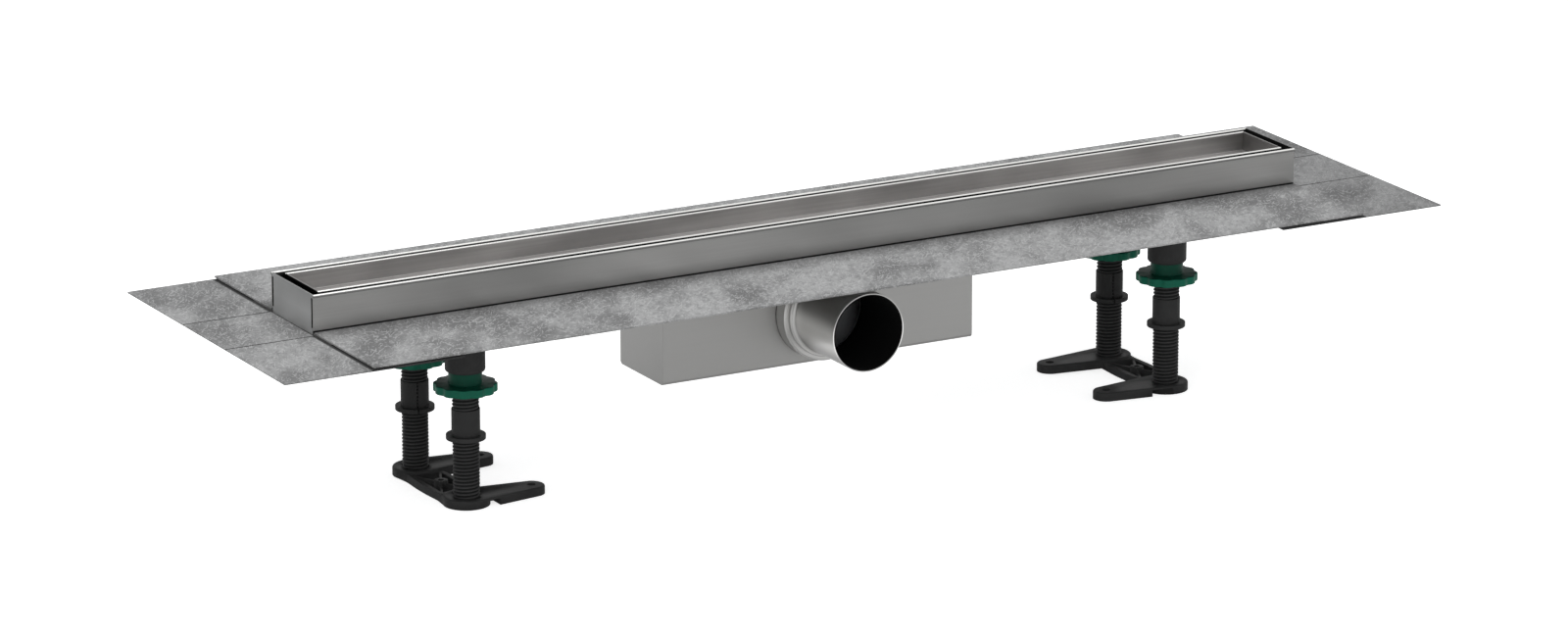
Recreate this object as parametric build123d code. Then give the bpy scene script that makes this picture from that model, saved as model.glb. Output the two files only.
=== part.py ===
"""Linear shower drain: a steel channel with a tile tray, a sealing collar, a trap box with a
side outlet, and four height-adjustable legs on two foot plates. Sizes are in millimetres.

The origin is on the floor under the middle of the channel. +X runs along the channel, +Z is up,
and the outlet leaves towards -Y.
"""
import math
import os

from build123d import *

# Levels above the floor
collar_top = 122.0
frame_height = 23.4
channel_top = collar_top + frame_height
fleece = 0.9
flange_sheet = 1.13
flange_top = collar_top - fleece
flange_bottom = flange_top - flange_sheet
end_fleece_bottom = flange_bottom - fleece

# Channel
channel_length = 700.0
channel_width = 60.0
sheet = 1.0
hem_thickness = 2.0
hem_height = 1.9
bend_radius = 1.3
corner_slit = 1.1
corner_slit_rise = 4.0
corner_slit_drop = 2.4
trough_underside = end_fleece_bottom
trough_top_face = trough_underside + sheet
wall_inner = channel_width / 2 - hem_thickness
wall_outer = wall_inner + sheet

# Sealing flanges and collar
flange_reach = 26.0
end_flange_reach = 25.0
end_flange_lap = 10.0
end_flange_width = 100.0
stiffening_lip = 6.0
collar_width = 224.0
collar_end_reach = 58.7
collar_overlap = 60.5
collar_gap = 1.2
collar_cut_gap = 0.3
score_width = 0.7
score_bridge = 1.6
score_notch = 0.8
tape_inset = 7.0
tape_end_inset = 5.0

# Tile tray
tray_end_gap = 5.0
water_slot = 4.5
tray_length = channel_length - 2 * (sheet + tray_end_gap)
tray_width = 2 * (wall_inner - water_slot)
tile_depth = 12.0
tray_bottom = channel_top - tile_depth - sheet
support_sheet = 1.2
support_length = 16.0
support_inset = 1.5
support_width = tray_width - 2 * support_inset
support_count = 4
support_spacing = tray_length / support_count

# Trap box and outlet
trap_length = 221.8
trap_width = 56.7
trap_bottom = 52.7
trap_sheet = 1.2
trap_fold_radius = 2.5
outlet_height = 87.35
pipe_radius = 25.0
pipe_wall = 1.25
outlet_end = 90.4
neck_radius = 31.0
neck_length = 11.4
neck_edge = 1.1
bead_radius = 27.9
bead_length = 2.0
bead_edge = 0.7
throat_radius = 1.9

# Odour trap insert
opening_length = 96.0
opening_width = 48.0
insert_clearance = 1.0
gasket = 1.0
insert_flange = 2.0
insert_flange_lip = 3.0
insert_wall = 1.8
skirt_depth = 6.0
dip_length = 64.0
dip_width = 28.0
dip_end = 64.0
tub_length = 86.0
tub_width = 44.0
tub_rim = 104.0
tub_wall = 2.0
tub_foot_height = 2.5
tub_foot_radius = 3.0
strainer_sheet = 1.0
strainer_margin = 7.0
strainer_slot = 2.4
strainer_slots = 9
knob_radius = 3.0
knob_height = 6.0

# Legs
leg_inset = 98.85
leg_x = channel_length / 2 - leg_inset
leg_y = 35.0
bracket_sheet = 1.5
bracket_margin = 19.0
bracket_length = 2 * (leg_y + bracket_margin)
bracket_width = 40.0
bracket_centre = 24.0
bracket_drop = 6.1
bracket_slope = 60.0
wing_top = trough_underside - bracket_drop
wing_bottom = wing_top - bracket_sheet
screw_radius = 2.9
screw_length = 8.6
screw_head_radius = 4.4
screw_head_height = 2.8
screw_hole_radius = 3.0
cup_radius = 12.5
cup_bottom = 85.25
cup_edge = 1.7
neck_clearance = 0.3
thrust_clearance = 0.2
rod_radius = 8.35
rod_bore_radius = 5.0
rod_top = 92.5
rod_clearance = 0.3
rod_pocket_top = 104.0
nut_neck_radius = 10.4
nut_neck_top = 96.8
nut_radius = 19.8
nut_bottom = 72.55
nut_flange = 5.2
nut_lobes = 12
lobe_depth = 1.3
sleeve_radius = 8.85
sleeve_fit = 0.02
sleeve_top = 61.35
sleeve_flange_top = 44.85
sleeve_flange = 2.75
sleeve_flange_radius = 12.3
sleeve_slit = 0.8
sleeve_slit_turn = -15.0

# Foot plates
plate_height = 5.6
plate_edge = 1.2
pad_radius = 14.6
rod_socket_floor = 1.6
arm_length = 44.5
arm_tip_radius = 8.4
arm_notch_end = 17.0
arm_notch_start = 2.5
arm_notch_skin = 1.2
arm_hole_radius = 2.8
web_height = 4.2
web_waist = 12.05
web_taper = 18.0
pocket_floor = 1.1
pocket_reach = 9.0
pocket_end_gap = 16.0
rib = 1.5
boss_radius = 4.3
boss_hole_radius = 1.9


def block(x, y, z):
    """A box between the two ends given for each axis."""
    size = [abs(b - a) for a, b in (x, y, z)]
    middle = [(a + b) / 2 for a, b in (x, y, z)]
    return Pos(*middle) * Box(*size)


def upright(outline, bottom, top):
    """A flat outline drawn in plan and raised between two levels."""
    return Pos(0, 0, bottom) * extrude(outline, amount=top - bottom)


def round_post(radius, bottom, top):
    return upright(Circle(radius), bottom, top)


def long_slot(length, width, bottom, top):
    return upright(SlotOverall(length, width), bottom, top)


def section(outline, half_length):
    """A profile drawn across the channel and run along it."""
    return extrude(Plane.YZ * outline, amount=half_length, both=True)


def profile_block(y, z):
    middle = Pos((y[0] + y[1]) / 2, (z[0] + z[1]) / 2)
    return middle * Rectangle(abs(y[1] - y[0]), abs(z[1] - z[0]))


def hem(side, width):
    """The rounded fold along the top of one side wall of a channel or tray of the given width."""
    radius = hem_thickness / 2
    middle = side * (width / 2 - radius)
    crown = Pos(middle, channel_top - radius) * Circle(radius)
    stem = profile_block((middle - radius, middle + radius), (channel_top - hem_height, channel_top - radius))
    return crown + stem


def folded_u(half_width, bottom, top, thickness, outer_radius):
    """An upward-facing U of sheet with rounded bends."""
    outer = profile_block((-half_width, half_width), (bottom, top))
    outer = fillet(outer.vertices().group_by(Axis.Y)[0], outer_radius)
    inner_half = half_width - thickness
    inner = profile_block((-inner_half, inner_half), (bottom + thickness, top))
    inner = fillet(inner.vertices().group_by(Axis.Y)[0], outer_radius - thickness)
    return outer - inner


def hemmed_u(width, bottom):
    """The section of a sheet folded up at both sides, with a hem along each top edge."""
    half = width / 2 - hem_thickness + sheet
    walls = folded_u(half, bottom, channel_top - hem_height, sheet, bend_radius)
    return walls + hem(1, width) + hem(-1, width)


def channel_body():
    body = section(hemmed_u(channel_width, trough_underside), channel_length / 2)
    return body - long_slot(opening_length, opening_width, trough_underside, trough_top_face)


def end_plate(end):
    """A plate between the side walls, welded to them above and below a slit at each corner."""
    thickness = (end * (channel_length / 2 - sheet), end * channel_length / 2)
    plate = block(thickness, (-wall_inner, wall_inner), (trough_top_face, channel_top))
    lower_corners = plate.edges().filter_by(Axis.X).group_by(Axis.Z)[0]
    plate = fillet(lower_corners, bend_radius - sheet)
    slit = (collar_top + corner_slit_rise, channel_top - corner_slit_drop)
    for side in (-1, 1):
        plate -= block(thickness, (side * (wall_inner - corner_slit), side * wall_inner), slit)
    return plate


def side_flange(side):
    """A flat strip welded along the side wall, which carries the long strip of the collar."""
    reach = wall_outer + flange_reach
    half = channel_length / 2
    return block((-half, half), (side * wall_outer, side * reach), (flange_bottom, flange_top))


def end_flange(end):
    """A plate lapped under the trough floor, with a folded lip, which carries the end strip."""
    start = channel_length / 2 - end_flange_lap
    stop = channel_length / 2 + end_flange_reach
    width = end_flange_width / 2
    level = end_fleece_bottom
    shelf = block((end * start, end * stop), (-width, width), (level - flange_sheet, level))
    lip = block((end * (stop - flange_sheet), end * stop), (-width, width), (level - stiffening_lip, level))
    return shelf + lip


def collar_side(side):
    inner = wall_outer + collar_gap
    half = channel_length / 2
    return block((-half, half), (side * inner, side * collar_width / 2), (flange_top, collar_top))


def collar_end(end):
    """The strip below the side strips at one end, cut out round the channel and scored beyond it."""
    start = channel_length / 2 - collar_overlap
    tab = channel_length / 2 + collar_cut_gap
    stop = channel_length / 2 + collar_end_reach
    level = (end_fleece_bottom, flange_bottom)
    strip = block((end * start, end * stop), (-collar_width / 2, collar_width / 2), level)
    inner = wall_outer + flange_sheet + collar_cut_gap
    strip -= block((end * start, end * tab), (-inner, inner), level)
    for side in (-1, 1):
        score = (side * inner, side * (inner - score_width))
        strip -= block((end * tab, end * (stop - score_bridge)), score, level)
        strip -= block((end * (stop - score_notch), end * stop), score, level)
    return strip


def seam_tape(end, side):
    """Sealing tape between a side strip and the end strip below it."""
    half = channel_length / 2
    along = (half - collar_overlap + tape_end_inset, half - tape_end_inset)
    across = (wall_outer + flange_reach, collar_width / 2 - tape_inset)
    return block(
        (end * along[0], end * along[1]),
        (side * across[0], side * across[1]),
        (flange_bottom, flange_top),
    )


def tile_tray():
    """A shallow hemmed tray with a plain wall between the hems at each end."""
    tray = section(hemmed_u(tray_width, tray_bottom), tray_length / 2)
    inner = tray_width / 2 - hem_thickness
    for end in (-1, 1):
        tray += block(
            (end * (tray_length / 2 - sheet), end * tray_length / 2),
            (-inner, inner),
            (tray_bottom + sheet, channel_top),
        )
    return tray


def tray_support(place):
    """A folded bridge that holds the tray above the trough and lets water pass under it."""
    middle = (place - (support_count - 1) / 2) * support_spacing
    half = support_width / 2
    profile = profile_block((-half, half), (trough_top_face, tray_bottom))
    profile -= profile_block((-half + support_sheet, half - support_sheet),
                             (trough_top_face, tray_bottom - support_sheet))
    profile = fillet(profile.vertices().group_by(Axis.Y)[-1], support_sheet)
    return Pos(middle, 0, 0) * section(profile, support_length / 2)


def trap_box():
    half = trap_width / 2
    shell = folded_u(half, trap_bottom, trough_underside, trap_sheet, trap_fold_radius)
    box = section(shell, trap_length / 2)
    closed = fillet(
        profile_block((-half, half), (trap_bottom, trough_underside)).vertices().group_by(Axis.Y)[0],
        trap_fold_radius,
    )
    for end in (-1, 1):
        wall = section(closed, trap_sheet / 2)
        box += Pos(end * (trap_length - trap_sheet) / 2, 0, 0) * wall
    hole = Cylinder(neck_radius - pipe_wall, trap_width, rotation=(90, 0, 0))
    return box - Pos(0, -half, outlet_height) * hole


def turned_outlet(offset):
    """The outlet as a solid of revolution, with every radius and step moved in by the offset."""
    neck, bead, pipe = (r - offset for r in (neck_radius, bead_radius, pipe_radius))
    step = neck_length - offset
    fall = step + bead_length
    throat = fall + throat_radius
    length = outlet_end - trap_width / 2
    outline = [
        Line((0, 0), (neck, 0)),
        Line((neck, 0), (neck, step - neck_edge)),
        Line((neck, step - neck_edge), (neck - neck_edge, step)),
        Line((neck - neck_edge, step), (bead, step)),
        Line((bead, step), (bead, fall - bead_edge)),
        Line((bead, fall - bead_edge), (bead - bead_edge, fall)),
        Line((bead - bead_edge, fall), (pipe + throat_radius, fall)),
        RadiusArc((pipe + throat_radius, fall), (pipe, throat), throat_radius),
        Line((pipe, throat), (pipe, length)),
        Line((pipe, length), (0, length)),
        Line((0, length), (0, 0)),
    ]
    turned = revolve(make_face(outline), Axis.Y, 360)
    return Pos(0, -trap_width / 2, outlet_height) * Rot(180, 0, 0) * turned


def outlet_spigot():
    """The drawn neck, the bead and the plain pipe end, as one hollow piece."""
    return turned_outlet(0) - turned_outlet(pipe_wall)


def trap_tub():
    """The open tub that holds the water, on four short feet."""
    bottom = trap_bottom + trap_sheet + tub_foot_height
    tub = long_slot(tub_length, tub_width, bottom, tub_rim)
    tub -= long_slot(tub_length - 2 * tub_wall, tub_width - 2 * tub_wall, bottom + tub_wall, tub_rim)
    reach = (tub_length - tub_width) / 2
    for x in (-reach, reach):
        for y in (-tub_width / 4, tub_width / 4):
            tub += Pos(x, y, 0) * round_post(tub_foot_radius, trap_bottom + trap_sheet, bottom)
    return tub


def dip_tube():
    """The removable inlet: a flange over the opening, a skirt in it and a tube into the water."""
    seat = trough_top_face + gasket
    skirt_length = opening_length - 2 * insert_clearance
    skirt_width = opening_width - 2 * insert_clearance
    skirt_bottom = trough_underside - skirt_depth
    inlet = long_slot(opening_length + 2 * insert_flange_lip, opening_width + 2 * insert_flange_lip,
                      seat, seat + insert_flange)
    inlet += long_slot(skirt_length, skirt_width, skirt_bottom, seat)
    inlet -= long_slot(skirt_length - 2 * insert_wall, skirt_width - 2 * insert_wall,
                       skirt_bottom + insert_wall, seat + insert_flange)
    inlet += long_slot(dip_length, dip_width, dip_end, skirt_bottom)
    return inlet - long_slot(dip_length - 2 * insert_wall, dip_width - 2 * insert_wall,
                             dip_end, skirt_bottom + insert_wall)


def trap_gasket():
    ring = long_slot(opening_length + 2 * insert_flange_lip, opening_width + 2 * insert_flange_lip,
                     trough_top_face, trough_top_face + gasket)
    return ring - long_slot(opening_length, opening_width, trough_top_face, trough_top_face + gasket)


def hair_strainer():
    """A slotted plate on the rim of the inlet, with a knob to lift it by."""
    seat = trough_top_face + gasket + insert_flange
    length = opening_length
    width = opening_width
    top = seat + strainer_sheet
    plate = long_slot(length, width, seat, top)
    pitch = (length - width + 2 * strainer_margin) / (strainer_slots - 1)
    slot_width = width - 2 * strainer_margin
    for number in range(strainer_slots):
        offset = (number - (strainer_slots - 1) / 2) * pitch
        if abs(offset) > knob_radius + strainer_slot:
            cut = upright(Rot(0, 0, 90) * SlotOverall(slot_width, strainer_slot), seat, top)
            plate -= Pos(offset, 0, 0) * cut
    return plate + round_post(knob_radius, top, top + knob_height)


def bracket_outline():
    """Half of the stepped strap seen from its end: a high centre and a low wing."""
    slope = math.radians(bracket_slope)
    bend = bracket_sheet * math.tan(slope / 2)
    foot = bracket_centre + bracket_drop / math.tan(slope)
    tip = bracket_length / 2
    centre_bottom = trough_underside - bracket_sheet
    return [
        (0, trough_underside),
        (bracket_centre, trough_underside),
        (foot, wing_top),
        (tip, wing_top),
        (tip, wing_bottom),
        (foot - bend, wing_bottom),
        (bracket_centre - bend, centre_bottom),
        (0, centre_bottom),
    ]


def leg_bracket(end):
    """A strap under the trough, stepped down at both sides so that the screws clear the flanges."""
    half = make_face(Polyline(*bracket_outline(), close=True))
    strap = section(half + mirror(half, Plane.YZ), bracket_width / 2)
    for side in (-1, 1):
        strap -= Pos(0, side * leg_y, 0) * round_post(screw_hole_radius, wing_bottom, wing_top)
    return Pos(end * leg_x, 0, 0) * strap


def at_leg(end, side):
    return Pos(end * leg_x, side * leg_y, 0)


def cup_screws():
    """Four like screws that hold the cups to the brackets."""
    shank = round_post(screw_radius, wing_top - screw_length, wing_top)
    head = round_post(screw_head_radius, wing_top, wing_top + screw_head_height)
    head = fillet(head.edges().group_by(Axis.Z)[-1], screw_head_height / 2)
    screw = shank + head
    return [at_leg(end, side) * screw for end in (-1, 1) for side in (-1, 1)]


def leg_cup(end, side):
    """The socket in which the neck of the nut turns, with a pocket for the rod above it."""
    top = wing_bottom
    cup = round_post(cup_radius, cup_bottom, top)
    cup = fillet(cup.edges().group_by(Axis.Z)[0], cup_edge)
    bore = nut_neck_radius + neck_clearance
    cup -= round_post(bore, cup_bottom, nut_neck_top + thrust_clearance)
    cup -= round_post(rod_radius + rod_clearance, nut_neck_top, rod_pocket_top)
    cup -= round_post(screw_hole_radius, rod_pocket_top, top)
    return at_leg(end, side) * cup


def lobed_outline():
    """A round flange with finger notches between the lobes."""
    outline = Circle(nut_radius)
    pitch = 2 * math.pi * nut_radius / nut_lobes
    notch_radius = (pitch * pitch / 16 + lobe_depth * lobe_depth) / (2 * lobe_depth)
    for number in range(nut_lobes):
        angle = 360 / nut_lobes * (number + 0.5)
        notch = Pos(nut_radius - lobe_depth + notch_radius, 0) * Circle(notch_radius)
        outline -= Rot(0, 0, angle) * notch
    return outline


def leg_nut(end, side):
    nut = upright(lobed_outline(), nut_bottom, nut_bottom + nut_flange)
    nut += round_post(nut_neck_radius, nut_bottom + nut_flange, nut_neck_top)
    nut -= round_post(rod_radius + rod_clearance, nut_bottom, nut_neck_top)
    return at_leg(end, side) * nut


def leg_rod(end, side):
    """The threaded post, moulded hollow, which stands in the socket of the foot plate."""
    rod = round_post(rod_radius, rod_socket_floor, rod_top)
    rod -= round_post(rod_bore_radius, plate_height, rod_top)
    return at_leg(end, side) * rod


def leg_sleeve(end, side):
    """The slit sleeve clamped round the rod, with a collar at its lower end."""
    bottom = sleeve_flange_top - sleeve_flange
    sleeve = round_post(sleeve_radius, bottom, sleeve_top)
    sleeve += round_post(sleeve_flange_radius, bottom, sleeve_flange_top)
    sleeve -= round_post(rod_radius + sleeve_fit, bottom, sleeve_top)
    slit = block(
        (-sleeve_slit / 2, sleeve_slit / 2),
        (0, -side * sleeve_flange_radius),
        (bottom, sleeve_top),
    )
    return at_leg(end, side) * (sleeve - Rot(0, 0, sleeve_slit_turn) * slit)


def arm_outline():
    """Plan of one pad with its arm along +X, with straight sides that touch both round ends."""
    lean = math.acos((pad_radius - arm_tip_radius) / arm_length)
    along, across = math.cos(lean), math.sin(lean)
    tip = arm_length + arm_tip_radius * along
    corners = [
        (pad_radius * along, pad_radius * across),
        (tip, arm_tip_radius * across),
        (tip, -arm_tip_radius * across),
        (pad_radius * along, -pad_radius * across),
    ]
    arm = make_face(Polyline(*corners, close=True))
    return arm + Pos(arm_length, 0) * Circle(arm_tip_radius) + Circle(pad_radius)


def raised_pad(side):
    """A pad with its arm, cut away under the outer side of the arm where it leaves the pad."""
    pad = upright(arm_outline(), 0, plate_height)
    pad = fillet(pad.faces().sort_by(Axis.Z)[-1].edges(), plate_edge)
    notch = profile_block((0, arm_notch_end), (side * arm_notch_start, side * 2 * pad_radius))
    pad -= upright(notch - Circle(pad_radius), 0, plate_height - arm_notch_skin)
    return Pos(0, side * leg_y, 0) * pad


def web_outline():
    """Plan of the waisted web between the two pads."""
    sides = [
        ThreePointArc((x, -leg_y), (math.copysign(web_waist, x), 0), (x, leg_y))
        for x in (-pad_radius, pad_radius)
    ]
    ends = [Line((-pad_radius, y), (pad_radius, y)) for y in (-leg_y, leg_y)]
    return make_face(sides + ends)


def foot_web():
    """The web with sloping sides, sunk between its rims and crossed by two ribs."""
    web = Rot(180, 0, 0) * extrude(web_outline(), amount=web_height, taper=web_taper)
    half = leg_y - pocket_end_gap
    pocket = block((-pocket_reach, pocket_reach), (-half, half), (pocket_floor, web_height))
    lean = math.degrees(math.atan2(pocket_reach, half))
    length = math.hypot(pocket_reach, half)
    for turn in (-lean, lean):
        bar = block((-rib / 2, rib / 2), (-length, length), (pocket_floor, web_height))
        pocket -= Rot(0, 0, turn) * bar
    return web - pocket + round_post(boss_radius, 0, plate_height)


def foot_plate(end):
    """One plate under a pair of legs. Its arms point to the middle of the channel."""
    plate = foot_web() + raised_pad(1) + raised_pad(-1)
    plate -= round_post(boss_hole_radius, 0, plate_height)
    for side in (-1, 1):
        hole = round_post(arm_hole_radius, 0, plate_height)
        socket = round_post(rod_radius + sleeve_fit, rod_socket_floor, plate_height)
        plate -= Pos(arm_length, side * leg_y, 0) * hole
        plate -= Pos(0, side * leg_y, 0) * socket
    turn = 180 if end > 0 else 0
    return Pos(end * leg_x, 0, 0) * Rot(0, 0, turn) * plate


def all_nodes():
    """Every piece by name. Left is -X and front is -Y."""
    ends = {"left": -1, "right": 1}
    sides = {"front": -1, "rear": 1}
    nodes = {
        "channel_body": channel_body(),
        "tile_tray": tile_tray(),
        "trap_box": trap_box(),
        "outlet_spigot": outlet_spigot(),
        "trap_tub": trap_tub(),
        "dip_tube": dip_tube(),
        "trap_gasket": trap_gasket(),
        "hair_strainer": hair_strainer(),
        "cup_screws": cup_screws(),
    }
    for place in range(support_count):
        nodes[f"tray_support_{place + 1}"] = tray_support(place)
    for name, side in sides.items():
        nodes[f"side_flange_{name}"] = side_flange(side)
        nodes[f"collar_{name}"] = collar_side(side)
    for name, end in ends.items():
        nodes[f"end_plate_{name}"] = end_plate(end)
        nodes[f"end_flange_{name}"] = end_flange(end)
        nodes[f"collar_{name}"] = collar_end(end)
        nodes[f"leg_bracket_{name}"] = leg_bracket(end)
        nodes[f"foot_plate_{name}"] = foot_plate(end)
        for row, side in sides.items():
            place = f"{name}_{row}"
            nodes[f"seam_tape_{place}"] = seam_tape(end, side)
            nodes[f"leg_cup_{place}"] = leg_cup(end, side)
            nodes[f"leg_nut_{place}"] = leg_nut(end, side)
            nodes[f"leg_rod_{place}"] = leg_rod(end, side)
            nodes[f"leg_sleeve_{place}"] = leg_sleeve(end, side)
    return nodes


def write_parts():
    os.makedirs("parts", exist_ok=True)
    for name, piece in all_nodes().items():
        shape = Compound(children=piece) if isinstance(piece, list) else piece
        shape.label = name
        export_step(shape, f"parts/{name}.step")


write_parts()
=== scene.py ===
"""Looks of the linear shower drain: brushed steel, fleece collar and moulded screw legs.

Lengths are in metres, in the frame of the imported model: the origin is on the floor under the
middle of the channel, +X runs along the channel, +Z is up, and the outlet leaves towards -Y.
"""
import math

import bmesh
import bpy
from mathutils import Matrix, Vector


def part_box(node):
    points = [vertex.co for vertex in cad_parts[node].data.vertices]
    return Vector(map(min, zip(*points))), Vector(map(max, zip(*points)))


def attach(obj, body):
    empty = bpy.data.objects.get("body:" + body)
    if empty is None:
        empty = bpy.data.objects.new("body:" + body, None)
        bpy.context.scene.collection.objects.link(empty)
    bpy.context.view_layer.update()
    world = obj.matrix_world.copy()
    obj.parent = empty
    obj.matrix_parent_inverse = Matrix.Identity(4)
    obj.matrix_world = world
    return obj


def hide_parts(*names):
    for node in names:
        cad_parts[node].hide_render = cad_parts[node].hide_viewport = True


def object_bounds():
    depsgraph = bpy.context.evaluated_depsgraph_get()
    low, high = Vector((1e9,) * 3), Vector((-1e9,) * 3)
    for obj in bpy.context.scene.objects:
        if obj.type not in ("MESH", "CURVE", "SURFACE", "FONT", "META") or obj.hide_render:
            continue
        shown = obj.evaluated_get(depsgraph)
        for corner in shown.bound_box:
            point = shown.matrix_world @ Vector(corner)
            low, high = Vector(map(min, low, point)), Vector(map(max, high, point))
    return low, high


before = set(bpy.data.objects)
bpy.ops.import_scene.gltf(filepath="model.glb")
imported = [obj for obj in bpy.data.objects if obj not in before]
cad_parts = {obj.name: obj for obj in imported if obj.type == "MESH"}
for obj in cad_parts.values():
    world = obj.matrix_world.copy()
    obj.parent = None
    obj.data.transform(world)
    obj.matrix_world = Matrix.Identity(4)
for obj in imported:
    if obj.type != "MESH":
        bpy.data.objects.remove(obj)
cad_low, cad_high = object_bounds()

bl_info = {
    "name": "Linear shower drain",
    "version": (1, 0, 0),
    "blender": (4, 5, 0),
    "location": "View3D > Sidebar > Drain",
    "description": "Models and finishes the pieces of a linear shower drain",
    "category": "Object",
}

MM = 0.001
WELD = 0.001 * MM
TOUCH = 0.01 * MM

SHEET = 1.0 * MM
BEND = 1.3 * MM
HEM_HEIGHT = 1.9 * MM
NUT_COLLAR = 5.2 * MM

ENDS = {"left": -1, "right": 1}
ROWS = ("front", "rear")
LEGS = [(end, row) for end in ENDS for row in ROWS]


class Wire:
    """One output of a shader tree, written as a value in sums."""

    def __init__(self, finish, socket):
        self.finish = finish
        self.socket = socket

    def combine(self, operation, first, second):
        return self.finish.node("ShaderNodeMath", {"operation": operation}, {0: first, 1: second})

    def __add__(self, other):
        return self.combine("ADD", self, other)

    def __radd__(self, other):
        return self.combine("ADD", other, self)

    def __sub__(self, other):
        return self.combine("SUBTRACT", self, other)

    def __rsub__(self, other):
        return self.combine("SUBTRACT", other, self)

    def __mul__(self, other):
        return self.combine("MULTIPLY", self, other)

    def __rmul__(self, other):
        return self.combine("MULTIPLY", other, self)

    def __gt__(self, other):
        return self.combine("GREATER_THAN", self, other)

    def __lt__(self, other):
        return self.combine("LESS_THAN", self, other)

    def __abs__(self):
        return self.finish.node("ShaderNodeMath", {"operation": "ABSOLUTE"}, {0: self})

    def at_least(self, other):
        return self.combine("MAXIMUM", self, other)


class Finish:
    """One material, with short ways to draw its pattern."""

    def __init__(self, name):
        self.material = bpy.data.materials.new(name)
        self.material.use_nodes = True
        self.tree = self.material.node_tree
        self.shader = self.tree.nodes["Principled BSDF"]
        self.place = self.node("ShaderNodeTexCoord", output="Object")

    def node(self, kind, settings=None, values=None, output=0):
        """Adds a node, sets it up, feeds its sockets and gives back one of its outputs."""
        made = self.tree.nodes.new(kind)
        for key, value in (settings or {}).items():
            if key == "stops":
                self.set_stops(made.color_ramp, value)
            else:
                setattr(made, key, value)
        for key, value in (values or {}).items():
            self.feed(made.inputs[key], value)
        return Wire(self, made.outputs[output])

    def set_stops(self, ramp, stops):
        while len(ramp.elements) < len(stops):
            ramp.elements.new(0.5)
        for element, (position, colour) in zip(ramp.elements, stops):
            element.position = position
            element.color = (*colour, 1.0)

    def feed(self, socket, value):
        if isinstance(value, Wire):
            self.tree.links.new(value.socket, socket)
        elif hasattr(value, "__len__") and len(value) == 3 and len(socket.default_value) == 4:
            socket.default_value = (*value, 1.0)
        else:
            socket.default_value = value

    def set(self, **values):
        """Sets sockets of the surface shader by name, with _ for a space."""
        for key, value in values.items():
            self.feed(self.shader.inputs[key.replace("_", " ")], value)
        return self

    def stretched(self, length=(1, 1, 1), turn=0.0, place=None):
        """A place turned about Z, where a pattern runs longer on each axis by the length given."""
        values = {"Vector": place or self.place, "Scale": length, "Rotation": (0, 0, turn)}
        return self.node("ShaderNodeMapping", {"vector_type": "TEXTURE"}, values)

    def noise(self, size, place=None, detail=4.0, roughness=0.5, distortion=0.0):
        """Noise whose blotches are about the given size in metres."""
        values = {
            "Vector": place or self.place,
            "Scale": 1 / size,
            "Detail": detail,
            "Roughness": roughness,
            "Distortion": distortion,
        }
        return self.node("ShaderNodeTexNoise", values=values)

    def band(self, value, low, high, soft=True):
        """Rises from 0 at low to 1 at high."""
        kind = "SMOOTHSTEP" if soft else "LINEAR"
        values = {"Value": value, "From Min": low, "From Max": high}
        return self.node("ShaderNodeMapRange", {"interpolation_type": kind}, values)

    def mix(self, factor, first, second):
        """Mixes two colours."""
        values = {0: factor, 6: first, 7: second}
        return self.node("ShaderNodeMix", {"data_type": "RGBA"}, values, output=2)

    def scaled(self, colour, factor):
        """A colour made brighter or darker by a factor that varies over the surface."""
        settings = {"data_type": "RGBA", "blend_type": "MULTIPLY"}
        return self.node("ShaderNodeMix", settings, {0: 1.0, 6: colour, 7: factor}, output=2)

    def axis(self, name):
        return self.node("ShaderNodeSeparateXYZ", values={0: self.place}, output=name)

    def square_root(self, value):
        return self.node("ShaderNodeMath", {"operation": "SQRT"}, {0: value})

    def bump(self, height, distance, strength=1.0):
        values = {"Height": height, "Distance": distance, "Strength": strength}
        self.set(Normal=self.node("ShaderNodeBump", values=values))
        return self


def grey(level):
    return (level, level, level)


def tinted(colour, factor):
    return tuple(channel * factor for channel in colour)


def brushed_steel(name, tone, painted_sheen=0.16, painted_sheen_size=0.07, along=1.0, roughness=0.34, lines=0.14):
    """Fine-brushed stainless sheet whose colour carries soft clouds of painted reflection, the uneven
    sheen of a flat sheet.
    """
    steel = Finish(name)
    # Painted reflection: the clouds lighten and darken the tone in soft patches, standing in for the
    # uneven sheen the flat sheet reflects.
    clouds = steel.band(steel.noise(painted_sheen_size, steel.stretched((along, 1, 1)), detail=1.5), 0.3, 0.7)
    strokes = steel.noise(0.0016, steel.stretched((50, 1, 1)), detail=2.0)
    colour = steel.mix(clouds, tinted(tone, 1 - painted_sheen), tinted(tone, 1 + painted_sheen))
    steel.colour = steel.mix(steel.band(strokes, 0.35, 0.65) * lines, colour, tinted(tone, 0.7))
    steel.set(Base_Color=steel.colour, Metallic=1.0, Roughness=roughness + 0.7 * lines * (strokes - 0.5))
    return steel.bump(strokes, 0.00002, 3.5 * lines)


def shaded(steel, factor, level=0.012):
    """Darkens a steel where the factor is 1, as in a gap that no light reaches."""
    steel.colour = steel.mix(factor, steel.colour, grey(level))
    return steel.set(Base_Color=steel.colour, Roughness=0.34 + 0.6 * factor)


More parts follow.
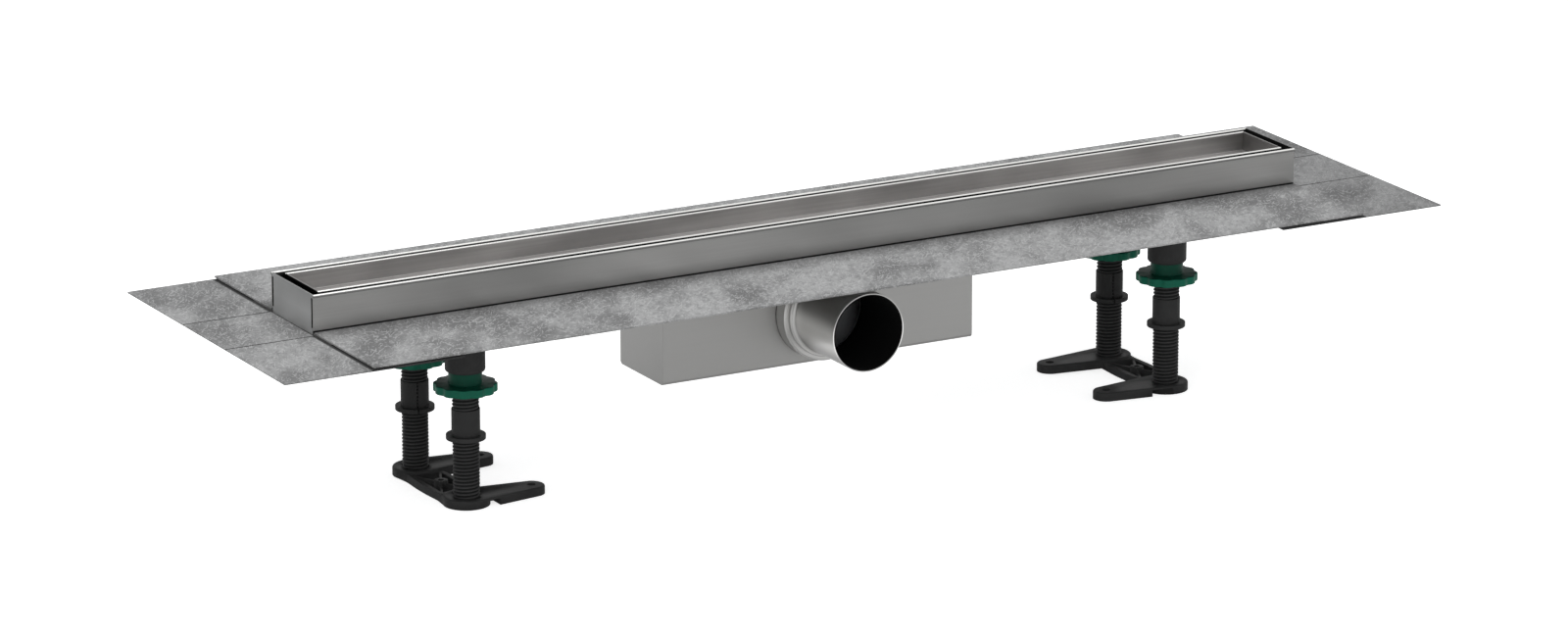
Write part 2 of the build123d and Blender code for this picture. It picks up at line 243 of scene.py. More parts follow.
def channel_steel(look):
    """The channel's sheet: a polished fold on top with a painted highlight, walls painted paler towards
    the foot as a painted reflection, and painted shade under the fold, along the foot and inside.
    """
    tone = tinted(tuple(look.steel_tone), 1.32)
    steel = brushed_steel("channel_steel", tone, painted_sheen=0.2, painted_sheen_size=0.075, along=2.2, lines=0.1)
    height = steel.axis("Z")
    depth = abs(steel.axis("Y"))
    top = cad_high.z
    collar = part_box("collar_front")[1].z
    wall = -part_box("side_flange_front")[1].y
    # Painted reflection: the walls are painted paler towards the foot.
    painted_reflection_lift = steel.band(height, top - 2 * MM, collar + 7.5 * MM, soft=False)
    steel.colour = steel.scaled(steel.colour, 0.84 + 0.64 * painted_reflection_lift)
    # Painted shade on the hem: its outer leaf below the top and its inner side are darkened.
    outer_fold_shade = steel.band(depth, wall + 0.1 * MM, wall + 0.3 * MM)
    inner_fold_shade = steel.band(depth, wall - 0.7 * MM, wall - 0.9 * MM)
    steel.colour = steel.mix(outer_fold_shade.at_least(inner_fold_shade) * 0.8, steel.colour, tinted(tone, 0.35))
    # The polished fold is partly real polish, with lower roughness, and partly a painted highlight: its
    # top is painted in the pale rim colour.
    polish_and_highlight = steel.band(height, top - 0.7 * MM, top - 0.5 * MM)
    steel.colour = steel.mix(polish_and_highlight, steel.colour, tuple(look.rim_highlight_tone))
    # Painted shade: the inside below the hem goes dark, and so does a thin line along the foot of the
    # wall.
    below_hem = steel.band(height, top - 2.0 * MM, top - 3.6 * MM)
    inside = steel.band(depth, wall - 0.5 * MM, wall - 0.7 * MM) * below_hem
    foot = steel.band(height, collar + 0.9 * MM, collar + 0.6 * MM)
    shaded(steel, inside.at_least(foot * 0.9))
    return steel.set(Roughness=0.33 - 0.2 * polish_and_highlight)


def end_plate_steel(look):
    """The end plates: smooth, painted paler towards the foot as a painted reflection, with painted shade
    on the inside and in the slits.
    """
    tone = tuple(look.steel_tone)
    cool = (tone[0] * 1.38, tone[1] * 1.40, tone[2] * 1.42)
    steel = brushed_steel("end_plate_steel", cool, painted_sheen=0.05, painted_sheen_size=0.04, roughness=0.3, lines=0.05)
    height = steel.axis("Z")
    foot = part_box("collar_left")[1].z
    low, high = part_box("end_plate_right")
    # Painted reflection: the plate is painted paler towards the foot.
    painted_reflection_lift = steel.band(height, high.z, foot + 13 * MM, soft=False)
    steel.colour = steel.scaled(steel.colour, 0.84 + 0.62 * painted_reflection_lift)
    # Painted shade on the inner face and in the corner slits.
    inside = steel.band(abs(steel.axis("X")), low.x + 0.75 * MM, low.x + 0.6 * MM)
    slit = steel.band(abs(steel.axis("Y")), high.y - 1.6 * MM, high.y - 1.5 * MM)
    cut = slit * (height > foot + 4.2 * MM) * (height < high.z - 2.4 * MM)
    return shaded(steel, inside.at_least(cut))


def tray_steel(look):
    """The tile tray: polished folds along its sides with a painted highlight, a floor painted bright as a
    painted reflection, and painted shade down its walls, on its ends and outside.
    """
    tone = tuple(look.steel_tone)
    warm = (tone[0] * 1.06, tone[1] * 1.045, tone[2] * 1.05)
    steel = brushed_steel(
        "tray_steel", warm, painted_sheen=0.24, painted_sheen_size=0.04, along=1.6, roughness=0.4, lines=0.3,
    )
    low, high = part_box("tile_tray")
    height = steel.axis("Z")
    side = abs(steel.axis("Y"))
    floor = steel.band(height, low.z + 1.1 * MM, low.z + 1.02 * MM)
    # Painted shade: the walls darken towards the floor.
    depth = steel.band(height, high.z - 2 * MM, low.z + 1 * MM) * (1.0 - floor)
    steel.colour = steel.mix(depth * 0.3, steel.colour, tinted(warm, 0.4))
    # Painted reflection: the floor is painted brighter, as it faces the bright sky.
    steel.colour = steel.mix(floor, steel.colour, tinted(warm, 2.5))
    # Painted shade: the end walls are painted darker.
    end_wall_shade = steel.band(abs(steel.axis("X")), high.x - 1.2 * MM, high.x - 1.05 * MM)
    steel.colour = steel.mix(end_wall_shade, steel.colour, tinted(warm, 0.62))
    hem = high.y - 2 * SHEET
    on_hem = steel.band(side, hem - 0.05 * MM, hem + 0.05 * MM)
    # The polished hems are partly real polish, with lower roughness, and partly a painted highlight in
    # the pale rim colour.
    polish_and_highlight = steel.band(height, high.z - 0.5 * MM, high.z - 0.3 * MM) * on_hem
    steel.colour = steel.mix(polish_and_highlight, steel.colour, tuple(look.rim_highlight_tone))
    # Painted shade: the outer side below the hem and the end faces go dark.
    outside = steel.band(side, high.y - 0.3 * MM, high.y - 0.1 * MM)
    end = steel.band(abs(steel.axis("X")), high.x - 0.2 * MM, high.x - 0.1 * MM)
    buried = steel.band(height, high.z - 0.5 * MM, high.z - 0.8 * MM)
    shaded(steel, end.at_least(outside * buried))
    return steel.set(Roughness=0.4 - 0.25 * polish_and_highlight)


def outlet_steel(look):
    """The drawn outlet: a painted sheen along the pipe, a neck painted lighter as a painted reflection,
    darkened in a thin ring at its root, and painted shade inside its mouth.
    """
    tone = tinted(tuple(look.steel_tone), 1.3)
    steel = brushed_steel("outlet_steel", tone, painted_sheen=0.05, painted_sheen_size=0.03, roughness=0.3, lines=0.04)
    low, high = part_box("outlet_spigot")
    middle = (low.z + high.z) / 2
    pipe = 25.0 * MM
    pipe_reach = 50.65 * MM
    wall = 1.25 * MM
    up = steel.axis("Z") - middle
    along = steel.axis("Y")
    step = low.y + pipe_reach
    on_pipe = steel.band(along, step - 3 * MM, step - 4 * MM)
    # Painted sheen: a band along the pipe's side is painted brighter.
    painted_pipe_sheen = steel.band(abs(up + 3 * MM), 14 * MM, 3 * MM) * on_pipe
    steel.colour = steel.mix(painted_pipe_sheen, steel.colour, tinted(tone, 2.2))
    # Painted reflection: the neck is painted lighter.
    on_neck = steel.band(along, step + 0.5 * MM, step + 1.5 * MM)
    steel.colour = steel.mix(on_neck, steel.colour, tinted(tone, 1.35))
    seam = steel.band(along, high.y - 1.0 * MM, high.y - 0.7 * MM)
    steel.colour = steel.mix(seam * 0.85, steel.colour, grey(0.01))
    across = steel.axis("X")
    radius = steel.square_root(up * up + across * across)
    neck = (high.x - low.x) / 2
    # Painted shade inside the pipe and the neck.
    in_pipe = steel.band(radius, pipe - 0.4 * wall, pipe - 0.6 * wall)
    in_neck = steel.band(radius, neck - 0.6 * wall, neck - 0.9 * wall) * (along > step + 0.6 * MM)
    return shaded(steel, in_pipe.at_least(in_neck))


def fleece_felt(look):
    """Grey nonwoven fleece: soft clouds of thickness and short pale fibres in all directions."""
    felt = Finish("fleece_felt")
    pale = tuple(look.fleece_pale)
    dark = tuple(look.fleece_dark)
    laid = felt.stretched((1, 2.2, 1), -0.5)
    clouds = felt.noise(0.035, laid, detail=3.0, roughness=0.55, distortion=0.3)
    flecks = felt.noise(0.0035, laid, detail=4.0, roughness=0.75)
    colour = felt.mix(felt.band(clouds, 0.34, 0.64), dark, pale)
    colour = felt.mix(felt.band(flecks, 0.4, 0.7) * 0.5, colour, tinted(dark, 0.8))
    strands = []
    for number, turn in enumerate((0.2, 0.95, 1.75, 2.6)):
        place = felt.stretched((4, 1, 1), turn, laid)
        strands.append(felt.band(felt.noise(0.0008 + 0.0001 * number, place, detail=1.0), 0.6, 0.7))
    fibres = sum(strands)
    colour = felt.mix(felt.band(fibres, 0, 1.2) * 0.5, colour, tinted(pale, 1.5))
    # Painted shadow from fleece_shadow: dark along the channel, at the right end, and in the scores and
    # steps.
    colour = felt.mix(fleece_shadow(felt), colour, grey(0.012))
    felt.set(Base_Color=colour, Roughness=0.95, Specular_IOR_Level=0.15)
    felt.set(Sheen_Weight=0.08, Sheen_Roughness=0.6)
    height = fibres * 0.5 + flecks * 0.6 + clouds * 0.5
    return felt.bump(height, 0.0003, 0.5)


def fleece_shadow(felt):
    """Painted shadow: soft along the channel and at the right end, and dark lines in the scores and under
    the steps.
    """
    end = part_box("channel_body")[1].x
    wall = -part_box("side_flange_front")[1].y
    side = abs(felt.axis("Y"))
    beyond_end = (abs(felt.axis("X")) - end).at_least(0.0)
    beyond_wall = (side - wall).at_least(0.0)
    near = felt.band(beyond_end + beyond_wall, 22 * MM, 0, soft=False)
    along = felt.band(felt.axis("X"), 0, end)
    weight = (0.64 + 0.14 * along) * (1.0 - 0.9 * felt.band(beyond_end, 0, 0.5 * MM))
    lower = felt.band(felt.axis("Z"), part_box("collar_front")[0].z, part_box("collar_left")[1].z)
    past_score = felt.band(side, wall + 0.8 * MM, wall + 1.4 * MM)
    step = felt.band(beyond_end, 2.2 * MM, 1.0 * MM) * lower * past_score
    score = felt.band(abs(side - (wall + 1.08 * MM)), 0.9 * MM, 0.45 * MM) * lower * (beyond_end > 0.0)
    right_end = felt.band(felt.axis("X"), end - 20 * MM, end + 30 * MM)
    lines = (step * 0.92).at_least(score * 0.8)
    return (near * weight).at_least(lines).at_least(right_end * 0.28)


def moulded_plastic(name, tone, roughness=0.42, specular=0.35):
    """Satin moulded plastic with a fine spark-eroded grain."""
    plastic = Finish(name)
    clouds = plastic.noise(0.02, detail=3.0)
    grains = plastic.noise(0.6 * MM, detail=2.0)
    plastic.colour = plastic.mix(plastic.band(clouds, 0.3, 0.7), tinted(tone, 0.88), tinted(tone, 1.14))
    rough = roughness + 0.12 * (clouds - 0.5)
    plastic.set(Base_Color=plastic.colour, Roughness=rough, Specular_IOR_Level=specular)
    return plastic.bump(grains, 0.00004, 0.5)


def threaded_plastic(black):
    """The rods: a painted highlight on the crest of the thread, and painted shade down in its groove."""
    plastic = moulded_plastic("black_thread", black, roughness=0.5, specular=0.05)
    crest = plastic.node("ShaderNodeAttribute", {"attribute_name": "crest"}, output="Fac")
    # Painted highlight and shade: the crest value lightens the crests and darkens the grooves.
    return plastic.set(Base_Color=plastic.scaled(plastic.colour, 0.35 + 1.15 * crest))


def nut_plastic(green):
    """The nuts: dark on the neck and on top of the collar, in the shadow of the cup."""
    plastic = moulded_plastic("green_plastic", green, roughness=0.42, specular=0.1)
    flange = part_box("leg_nut_left_front")[0].z + NUT_COLLAR
    shade = plastic.band(plastic.axis("Z"), flange - 0.3 * MM, flange - 0.1 * MM)
    return plastic.set(Base_Color=plastic.scaled(plastic.colour, 1.0 - 0.5 * shade))


def make_finishes():
    """Every material of the drain, made once and shared by the pieces."""
    look = bpy.context.scene.drain_look
    tone = tuple(look.steel_tone)
    black = tuple(look.black_tone)
    return {
        "channel": channel_steel(look),
        "end_plate": end_plate_steel(look),
        "tray": tray_steel(look),
        "box": brushed_steel("box_steel", tone, painted_sheen=0.03, painted_sheen_size=0.12, roughness=0.45, lines=0.02),
        "outlet": outlet_steel(look),
        "sheet": brushed_steel("sheet_steel", tone, painted_sheen=0.08),
        "fleece": fleece_felt(look),
        "black": moulded_plastic("black_plastic", black, roughness=0.5, specular=0.05),
        "thread": threaded_plastic(black),
        "green": nut_plastic(tuple(look.green_tone)),
        "grey": moulded_plastic("grey_plastic", (0.33, 0.34, 0.35)),
        "rubber": moulded_plastic("seal_rubber", grey(0.012), roughness=0.7, specular=0.2),
    }


finishes = {}


def finish_of(name):
    """The named material. The first call makes them all."""
    if not finishes:
        finishes.update(make_finishes())
    return finishes[name].material


def dress(nodes, name):
    """Gives CAD nodes a material in their own slots."""
    for node in nodes:
        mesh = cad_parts[node].data
        if not mesh.materials:
            mesh.materials.append(None)
        for number in range(len(mesh.materials)):
            mesh.materials[number] = finish_of(name)


def mesh_of(name, bm):
    """Writes an edited mesh down and frees it."""
    mesh = bpy.data.meshes.new(name)
    bm.to_mesh(mesh)
    bm.free()
    return mesh


def placed(name, data):
    """Puts a mesh, a lamp or a camera into the scene."""
    holder = bpy.data.objects.new(name, data)
    bpy.context.scene.collection.objects.link(holder)
    return holder


def new_piece(name, bm, finish, body, replaced, sharp=40):
    """Turns an edited mesh into a shaded piece that rides on its body in place of a CAD node."""
    bmesh.ops.recalc_face_normals(bm, faces=bm.faces[:])
    mesh = mesh_of(name, bm)
    mesh.shade_smooth()
    mesh.set_sharp_from_angle(angle=math.radians(sharp))
    mesh.materials.append(finish_of(finish))
    piece = placed(name, mesh)
    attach(piece, body)
    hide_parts(replaced)
    return piece


def even_shading(piece):
    """Keeps large faces flat where they meet a small rounded edge."""
    weighted = piece.modifiers.new("even_shading", "WEIGHTED_NORMAL")
    weighted.keep_sharp = True


class Pen:
    """Draws an outline of edges in the plane x = 0 with straight runs and round bends."""

    def __init__(self, y, z):
        self.bm = bmesh.new()
        self.tip = self.bm.verts.new((0, y, z))
        self.start = self.tip

    def run(self, y, z):
        drawn = bmesh.ops.extrude_vert_indiv(self.bm, verts=[self.tip])
        self.tip = drawn["verts"][0]
        self.tip.co = (0, y, z)
        return self

    def bend(self, y, z, degrees, steps=6):
        """Turns about a centre; a positive angle turns from +Y towards +Z."""
        drawn = bmesh.ops.spin(
            self.bm, geom=[self.tip], cent=(0, y, z), axis=(1, 0, 0),
            angle=math.radians(degrees), steps=steps, use_merge=False,
        )
        self.tip = next(e for e in drawn["geom_last"] if isinstance(e, bmesh.types.BMVert))
        return self

    def close(self):
        """Joins the last point to the first one."""
        self.bm.edges.new((self.tip, self.start))
        return self.bm


def run_along_x(bm, low, high):
    """Pulls a filled outline at x = 0 into a bar between two ends."""
    bmesh.ops.translate(bm, verts=bm.verts[:], vec=(low, 0, 0))
    pulled = bmesh.ops.extrude_face_region(bm, geom=bm.faces[:])
    moved = [e for e in pulled["geom"] if isinstance(e, bmesh.types.BMVert)]
    bmesh.ops.translate(bm, verts=moved, vec=(high - low, 0, 0))
    return bm


def turn_about_z(bm, steps):
    """Spins a closed outline about the Z axis into a round piece."""
    bmesh.ops.spin(
        bm, geom=bm.verts[:] + bm.edges[:], cent=(0, 0, 0), axis=(0, 0, 1),
        angle=math.tau, steps=steps, use_merge=True,
    )
    bmesh.ops.remove_doubles(bm, verts=bm.verts[:], dist=WELD)
    return bm


def plain_box(low, high):
    """A box between two corners."""
    bm = bmesh.new()
    made = bmesh.ops.create_cube(bm, size=1.0)["verts"]
    size = [b - a for a, b in zip(low, high)]
    middle = [(a + b) / 2 for a, b in zip(low, high)]
    bmesh.ops.scale(bm, vec=size, verts=made)
    bmesh.ops.translate(bm, vec=middle, verts=made)
    return bm


def round_edges(bm, edges, width):
    bmesh.ops.bevel(
        bm, geom=edges, offset=width, offset_type="OFFSET", affect="EDGES",
        segments=2, profile=0.5, material=-1, clamp_overlap=True,
    )


def sharp_edges(bm, degrees=35):
    """The edges where two faces meet at a clear angle."""
    limit = math.radians(degrees)
    return [e for e in bm.edges if len(e.link_faces) == 2 and e.calc_face_angle(0) > limit]


def welded_copy(node):
    """An editable copy of a CAD node with its split corners joined."""
    bm = bmesh.new()
    bm.from_mesh(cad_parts[node].data)
    bmesh.ops.remove_doubles(bm, verts=bm.verts[:], dist=WELD)
    return bm


def softened(node, width, finish, body):
    """A copy of a CAD node with its sharp edges broken, in the node's place."""
    bm = welded_copy(node)
    bmesh.ops.dissolve_limit(bm, angle_limit=math.radians(0.5), verts=bm.verts[:], edges=bm.edges[:])
    round_edges(bm, sharp_edges(bm), width)
    even_shading(new_piece(f"{node}_body", bm, finish, body, node, sharp=50))


def apply_modifiers(piece):
    """Makes a piece's modifiers part of its mesh."""
    bpy.context.view_layer.update()
    shown = piece.evaluated_get(bpy.context.evaluated_depsgraph_get())
    mesh = bpy.data.meshes.new_from_object(shown)
    piece.modifiers.clear()
    piece.data = mesh


class DrainLook(bpy.types.PropertyGroup):
    """Colours and small sizes of the drain that a user may change."""

    steel_tone: bpy.props.FloatVectorProperty(
        name="Steel", description="Colour of the brushed steel", subtype="COLOR",
        size=3, min=0, max=1, default=(0.30, 0.298, 0.292))
    # The rim colour is a painted highlight on the polished folds of the channel and the tray.
    rim_highlight_tone: bpy.props.FloatVectorProperty(
        name="Rim", description="Colour of the polished fold on top of the channel", subtype="COLOR",
        size=3, min=0, max=1, default=(0.86, 0.86, 0.84))
    fleece_pale: bpy.props.FloatVectorProperty(
        name="Fleece", description="Colour of the thin places of the fleece", subtype="COLOR",
        size=3, min=0, max=1, default=(0.37, 0.37, 0.37))
    fleece_dark: bpy.props.FloatVectorProperty(
        name="Fleece clouds", description="Colour of the dense places of the fleece", subtype="COLOR",
        size=3, min=0, max=1, default=(0.165, 0.165, 0.165))
    black_tone: bpy.props.FloatVectorProperty(
        name="Black plastic", description="Colour of the legs and foot plates", subtype="COLOR",
        size=3, min=0, max=1, default=(0.039, 0.039, 0.039))
    green_tone: bpy.props.FloatVectorProperty(
        name="Green plastic", description="Colour of the adjusting nuts", subtype="COLOR",
        size=3, min=0, max=1, default=(0.008, 0.125, 0.076))
    edge_softness: bpy.props.FloatProperty(
        name="Edge softness", description="Radius of the broken edges of the steel pieces",
        default=0.15 * MM, min=0, max=1 * MM, precision=5, unit="LENGTH")
    thread_pitch: bpy.props.FloatProperty(
        name="Thread pitch", description="Rise of the leg thread in one turn",
        default=2.26 * MM, min=0.5 * MM, max=5 * MM, precision=5, unit="LENGTH")
    thread_depth: bpy.props.FloatProperty(
        name="Thread depth", description="Depth of the leg thread",
        default=0.85 * MM, min=0.1 * MM, max=2 * MM, precision=5, unit="LENGTH")
    nut_lobes: bpy.props.IntProperty(
        name="Nut lobes", description="Number of finger lobes round the nut", default=12, min=3, max=24)
    lobe_depth: bpy.props.FloatProperty(
        name="Lobe depth", description="Depth of the notches between the lobes",
        default=1.3 * MM, min=0, max=4 * MM, precision=5, unit="LENGTH")


def hemmed_outline(low, high):
    """The section of a sheet folded up at both sides, with a rounded hem along each top edge."""
    wall = high.y - SHEET
    crown = high.z - SHEET
    pen = Pen(0, low.z)
    pen.run(wall - BEND, low.z)
    pen.bend(wall - BEND, low.z + BEND, 90)
    pen.run(wall, high.z - HEM_HEIGHT)
    pen.run(high.y, high.z - HEM_HEIGHT)
    pen.run(high.y, crown)
    pen.bend(wall, crown, 180, steps=14)
    pen.run(wall - SHEET, low.z + BEND)
    pen.bend(wall - BEND, low.z + BEND, -90, steps=3)
    pen.run(0, low.z + SHEET)
    bm = pen.bm
    bmesh.ops.mirror(bm, geom=bm.verts[:] + bm.edges[:], axis="Y", merge_dist=WELD)
    bmesh.ops.edgeloop_fill(bm, edges=bm.edges[:])
    return bm


class DRAIN_OT_channel(bpy.types.Operator):
    """Fold the channel from one sheet, with hemmed rims and a floor opening, and close its ends"""

    bl_idname = "drain.channel"
    bl_label = "Channel"

    def execute(self, context):
        low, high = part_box("channel_body")
        bm = run_along_x(hemmed_outline(low, high), low.x, high.x)
        piece = new_piece("channel_sheet", bm, "channel", "root", "channel_body")
        cutter = self.cutter(low)
        cut = piece.modifiers.new("opening", "BOOLEAN")
        cut.object = cutter
        cut.operation = "DIFFERENCE"
        cut.solver = "EXACT"
        apply_modifiers(piece)
        bpy.data.objects.remove(cutter)
        piece.data.set_sharp_from_angle(angle=math.radians(40))
        softness = context.scene.drain_look.edge_softness
        for end in ENDS:
            softened(f"end_plate_{end}", softness, "end_plate", "root")
        return {"FINISHED"}

    def cutter(self, low):
        """The long round-ended opening to the trap."""
        bm = bmesh.new()
        ring_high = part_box("trap_gasket")[1]
        lip = 3.0 * MM
        below = 1.0 * MM
        radius = ring_high.y - lip
        reach = ring_high.x - lip - radius
        disc = bmesh.ops.create_circle(bm, cap_ends=True, segments=48, radius=radius)["verts"]
        for vert in disc:
            vert.co.x += math.copysign(reach, vert.co.x) if abs(vert.co.x) > TOUCH else 0
        bmesh.ops.translate(bm, verts=disc, vec=(0, 0, low.z - below))
        pulled = bmesh.ops.extrude_face_region(bm, geom=bm.faces[:])
        moved = [e for e in pulled["geom"] if isinstance(e, bmesh.types.BMVert)]
        bmesh.ops.translate(bm, verts=moved, vec=(0, 0, SHEET + 2 * below))
        bmesh.ops.recalc_face_normals(bm, faces=bm.faces[:])
        return placed("cutter", mesh_of("cutter", bm))


class DRAIN_OT_tray(bpy.types.Operator):
    """Fold the shallow tray for the tile, and finish the bridges that carry it"""

    bl_idname = "drain.tray"
    bl_label = "Tile tray"

    def execute(self, context):
        low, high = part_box("tile_tray")
        bm = run_along_x(hemmed_outline(low, high), low.x, high.x)
        inner = high.y - 2 * SHEET
        for end in ENDS.values():
            near, far = sorted((end * high.x, end * (high.x - SHEET)))
            wall = plain_box((near, -inner, low.z + SHEET), (far, inner, high.z))
            upper = [e for e in wall.edges if all(v.co.z > high.z - SHEET for v in e.verts)]
            round_edges(wall, upper, 0.2 * MM)
            mesh = mesh_of("wall", wall)
            bm.from_mesh(mesh)
            bpy.data.meshes.remove(mesh)
        piece = new_piece("tile_tray_sheet", bm, "tray", "root", "tile_tray", sharp=50)
        even_shading(piece)
        dress([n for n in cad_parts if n.startswith("tray_support")], "sheet")
        return {"FINISHED"}


class DRAIN_OT_collar(bpy.types.Operator):
    """Finish the fleece strips, the tape between them and the steel flanges that carry them"""

    bl_idname = "drain.collar"
    bl_label = "Sealing collar"

    def execute(self, context):
        dress([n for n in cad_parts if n.startswith("collar")], "fleece")
        dress([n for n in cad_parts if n.startswith("seam_tape")], "rubber")
        dress([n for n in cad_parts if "_flange_" in n], "sheet")
        return {"FINISHED"}


class DRAIN_OT_trap(bpy.types.Operator):
    """Finish the trap box, its outlet and the insert that holds the water"""

    bl_idname = "drain.trap"
    bl_label = "Trap and outlet"

    def execute(self, context):
        softness = context.scene.drain_look.edge_softness
        softened("trap_box", 1.6 * softness, "box", "root")
        dress(["outlet_spigot"], "outlet")
        dress(["trap_tub", "dip_tube", "hair_strainer"], "grey")
        dress(["trap_gasket"], "rubber")
        return {"FINISHED"}


class DRAIN_OT_legs(bpy.types.Operator):
    """Thread the rods, shape the nuts and finish the cups, sleeves, brackets and foot plates"""

    bl_idname = "drain.legs"
    bl_label = "Screw legs"

    def execute(self, context):
        look = context.scene.drain_look
        for end, row in LEGS:
            self.rod(look, end, row)
            self.nut(look, end, row)
            softened(f"leg_cup_{end}_{row}", 0.25 * MM, "black", "root")
            softened(f"leg_sleeve_{end}_{row}", 0.15 * MM, "black", f"foot_{end}")
        for end in ENDS:
            self.foot(end)
        dress(["cup_screws", "leg_bracket_left", "leg_bracket_right"], "sheet")
        return {"FINISHED"}

    def rod(self, look, end, row):
        """A true helical thread: one rib of the thread is spun upwards for every turn."""
        node = f"leg_rod_{end}_{row}"
        low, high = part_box(node)
        middle = (low + high) / 2
        crest = high.x - middle.x
        pitch = look.thread_pitch
        root = crest - look.thread_depth
        turns = math.ceil((high.z - low.z) / pitch) + 2
        steps = 36
        bm = bmesh.new()
        rib = [(root, 0), (crest, 0.26), (crest, 0.5), (root, 0.76), (root, 1.0)]
        verts = [bm.verts.new((0, radius, level * pitch)) for radius, level in rib]
        edges = [bm.edges.new(pair) for pair in zip(verts, verts[1:])]
        bmesh.ops.spin(
            bm, geom=verts + edges, cent=(0, 0, 0), axis=(0, 0, 1), dvec=(0, 0, pitch / steps),
            angle=turns * math.tau, steps=steps * turns, use_merge=False,
        )
        bmesh.ops.remove_doubles(bm, verts=bm.verts[:], dist=TOUCH)
        bmesh.ops.translate(bm, verts=bm.verts[:], vec=(middle.x, middle.y, low.z - pitch))
        for level, normal in ((low.z, (0, 0, -1)), (high.z, (0, 0, 1))):
            bmesh.ops.bisect_plane(
                bm, geom=bm.verts[:] + bm.edges[:] + bm.faces[:], plane_co=(0, 0, level),
                plane_no=normal, clear_outer=True,
            )
            loose = [e for e in bm.edges if e.is_boundary]
            rim = [e for e in loose if all(abs(v.co.z - level) < TOUCH for v in e.verts)]
            bmesh.ops.holes_fill(bm, edges=rim, sides=0)
        # The crest value feeds the painted highlight on the crests and the painted shade in the grooves.
        crest_light_layer = bm.verts.layers.float.new("crest")
        for vert in bm.verts:
            radius = math.hypot(vert.co.x - middle.x, vert.co.y - middle.y)
            vert[crest_light_layer] = (radius - root) / (crest - root)
        new_piece(f"{node}_thread", bm, "thread", f"foot_{end}", node, sharp=35)

    def foot(self, end):
        """The foot plate, with its web drawn a little fuller between the pads."""
        node = f"foot_plate_{end}"
        rod_low, rod_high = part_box(f"leg_rod_{end}_front")
        centre = (rod_low.x + rod_high.x) / 2
        half = 20 * MM
        pocket_side = 9.5 * MM
        fuller = 1.8 * MM
        bm = welded_copy(node)
        for vert in bm.verts:
            reach = vert.co.x - centre
            if abs(reach) > pocket_side and abs(vert.co.y) < half:
                vert.co.x += math.copysign(fuller * (1 - (vert.co.y / half) ** 2), reach)
        new_piece(f"{node}_body", bm, "black", f"foot_{end}", node, sharp=35)

    def nut(self, look, end, row):
        """A lobed hand nut: a round collar under a neck, with the notches pressed into its rim."""
        node = f"leg_nut_{end}_{row}"
        low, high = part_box(node)
        middle = (low + high) / 2
        rim = high.x - middle.x
        neck = 10.4 * MM
        rod_low, rod_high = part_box(f"leg_rod_{end}_{row}")
        bore = (rod_high.x - rod_low.x) / 2 + 0.3 * MM
        flange = low.z + NUT_COLLAR
        edge = 0.7 * MM
        top_edge = 0.4 * MM
        fillet = 0.8 * MM
        pen = Pen(bore, low.z)
        pen.run(rim - edge, low.z)
        pen.bend(rim - edge, low.z + edge, 90, steps=4)
        pen.run(rim, flange - edge)
        pen.bend(rim - edge, flange - edge, 90, steps=4)
        pen.run(neck + fillet, flange)
        pen.bend(neck + fillet, flange + fillet, -90, steps=4)
        pen.run(neck, high.z - top_edge)
        pen.bend(neck - top_edge, high.z - top_edge, 90, steps=3)
        pen.run(bore, high.z)
        bm = turn_about_z(pen.close(), steps=look.nut_lobes * 14)
        clear = neck + 2 * fillet
        for vert in bm.verts:
            radius = vert.co.xy.length
            if radius > clear:
                angle = math.atan2(vert.co.y, vert.co.x)
                wave = (0.5 - 0.5 * math.cos(look.nut_lobes * angle)) ** 1.6
                share = (radius - clear) / (rim - clear)
                vert.co.xy *= 1 - share * wave * look.lobe_depth / rim
        bmesh.ops.translate(bm, verts=bm.verts[:], vec=(middle.x, middle.y, 0))
        new_piece(f"{node}_body", bm, "green", f"nut_{end}_{row}", node, sharp=45)


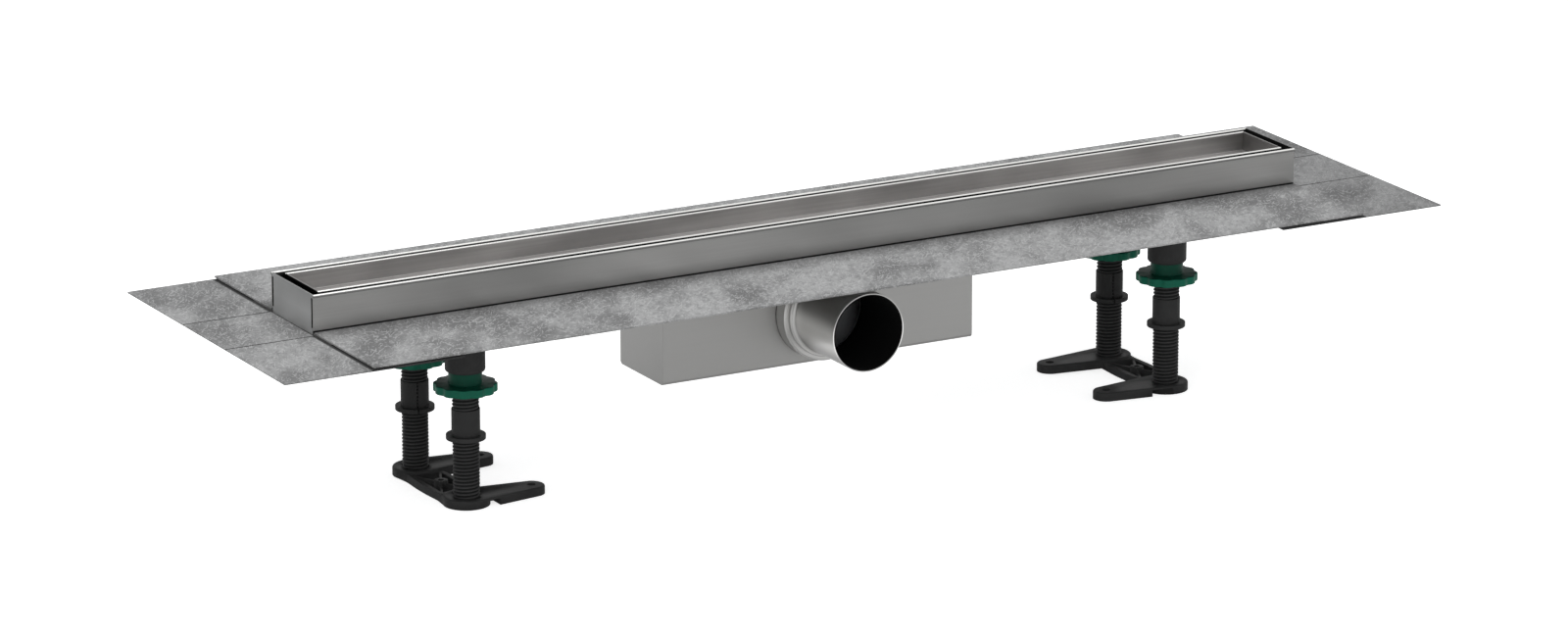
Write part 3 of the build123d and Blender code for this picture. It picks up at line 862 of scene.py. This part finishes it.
class DRAIN_OT_stage(bpy.types.Operator):
    """Set the pale floor, the soft studio light and the camera"""

    bl_idname = "drain.stage"
    bl_label = "Stage"

    def execute(self, context):
        self.floor()
        self.world(context.scene)
        self.lamps()
        self.camera(context.scene)
        context.scene.view_settings.view_transform = "Standard"
        return {"FINISHED"}

    def floor(self):
        """A white floor that keeps the drain's soft shadow."""
        bm = bmesh.new()
        bmesh.ops.create_grid(bm, x_segments=1, y_segments=1, size=8.0)
        floor = placed("floor", mesh_of("floor", bm))
        paint = Finish("white_floor")
        paint.set(Base_Color=grey(0.8), Roughness=1.0, Specular_IOR_Level=0.0)
        seen = paint.node("ShaderNodeLightPath", output="Is Camera Ray")
        mirrored = paint.node("ShaderNodeLightPath", output="Is Glossy Ray")
        paint.set(Emission_Color=grey(1.0), Emission_Strength=0.75 * seen + 0.4 * mirrored)
        floor.data.materials.append(paint.material)

    def world(self, scene):
        """Soft light on the drain, and plain white wherever the camera or a reflection sees the sky."""
        world = bpy.data.worlds.new("studio")
        scene.world = world
        world.use_nodes = True
        tree = world.node_tree
        tree.nodes.clear()
        kinds = ("OutputWorld", "MixShader", "Background", "Background", "LightPath", "Math", "Math")
        made = [tree.nodes.new(f"ShaderNode{kind}") for kind in kinds]
        output, mix, soft, white, path, seen, clear = made
        seen.operation = "MAXIMUM"
        clear.operation = "MAXIMUM"
        for background, colour, strength in ((soft, (0.98, 0.99, 1.0), 0.66), (white, (1, 1, 1), 1.0)):
            background.inputs["Color"].default_value = (*colour, 1.0)
            background.inputs["Strength"].default_value = strength
        for source, target in (
            (path.outputs["Is Camera Ray"], seen.inputs[0]),
            (path.outputs["Is Glossy Ray"], seen.inputs[1]),
            (seen.outputs[0], clear.inputs[0]),
            (path.outputs["Is Transmission Ray"], clear.inputs[1]),
            (clear.outputs[0], mix.inputs[0]),
            (soft.outputs[0], mix.inputs[1]),
            (white.outputs[0], mix.inputs[2]),
            (mix.outputs[0], output.inputs["Surface"]),
        ):
            tree.links.new(source, target)

    def lamps(self):
        """One broad lamp overhead and a weaker one from the front left."""
        for name, place, size, power in (
            ("overhead_lamp", (-0.3, -0.2, 2.6), 2.6, 26.0),
            ("front_lamp", (-2.4, -2.6, 1.6), 2.0, 19.0),
        ):
            lamp = bpy.data.lights.new(name, "AREA")
            lamp.shape = "DISK"
            lamp.size = size
            lamp.energy = power
            holder = placed(name, lamp)
            holder.location = place
            aim = Vector((0, 0, 0.08)) - Vector(place)
            holder.rotation_euler = aim.to_track_quat("-Z", "Y").to_euler()

    def camera(self, scene):
        """The photograph's view: from the front left and a little above, through a long lens."""
        turn = math.radians(-29.015)
        tilt = math.radians(16.353)
        lens = bpy.data.cameras.new("camera")
        lens.sensor_fit = "HORIZONTAL"
        lens.sensor_width = 36.0
        lens.lens = 177.99
        lens.clip_end = 60.0
        camera = placed("camera", lens)
        camera.location = (-2.27593, -4.08625, 1.44587)
        camera.rotation_euler = (math.pi / 2 - tilt, 0, turn)
        scene.camera = camera


class DRAIN_PT_panel(bpy.types.Panel):
    """Sizes and colours of the drain, and the steps that build it"""

    bl_idname = "DRAIN_PT_panel"
    bl_label = "Shower drain"
    bl_space_type = "VIEW_3D"
    bl_region_type = "UI"
    bl_category = "Drain"

    def draw(self, context):
        look = context.scene.drain_look
        for name in DrainLook.__annotations__:
            self.layout.prop(look, name)
        for step in STEPS:
            self.layout.operator(step.bl_idname)


STEPS = (
    DRAIN_OT_channel,
    DRAIN_OT_tray,
    DRAIN_OT_collar,
    DRAIN_OT_trap,
    DRAIN_OT_legs,
    DRAIN_OT_stage,
)


def register():
    bpy.utils.register_class(DrainLook)
    bpy.types.Scene.drain_look = bpy.props.PointerProperty(type=DrainLook)
    for step in STEPS:
        bpy.utils.register_class(step)
    bpy.utils.register_class(DRAIN_PT_panel)


def unregister():
    bpy.utils.unregister_class(DRAIN_PT_panel)
    for step in reversed(STEPS):
        bpy.utils.unregister_class(step)
    del bpy.types.Scene.drain_look
    bpy.utils.unregister_class(DrainLook)


def main():
    register()
    bpy.ops.drain.channel()
    bpy.ops.drain.tray()
    bpy.ops.drain.collar()
    bpy.ops.drain.trap()
    bpy.ops.drain.legs()
    bpy.ops.drain.stage()


if __name__ == "__main__":
    main()
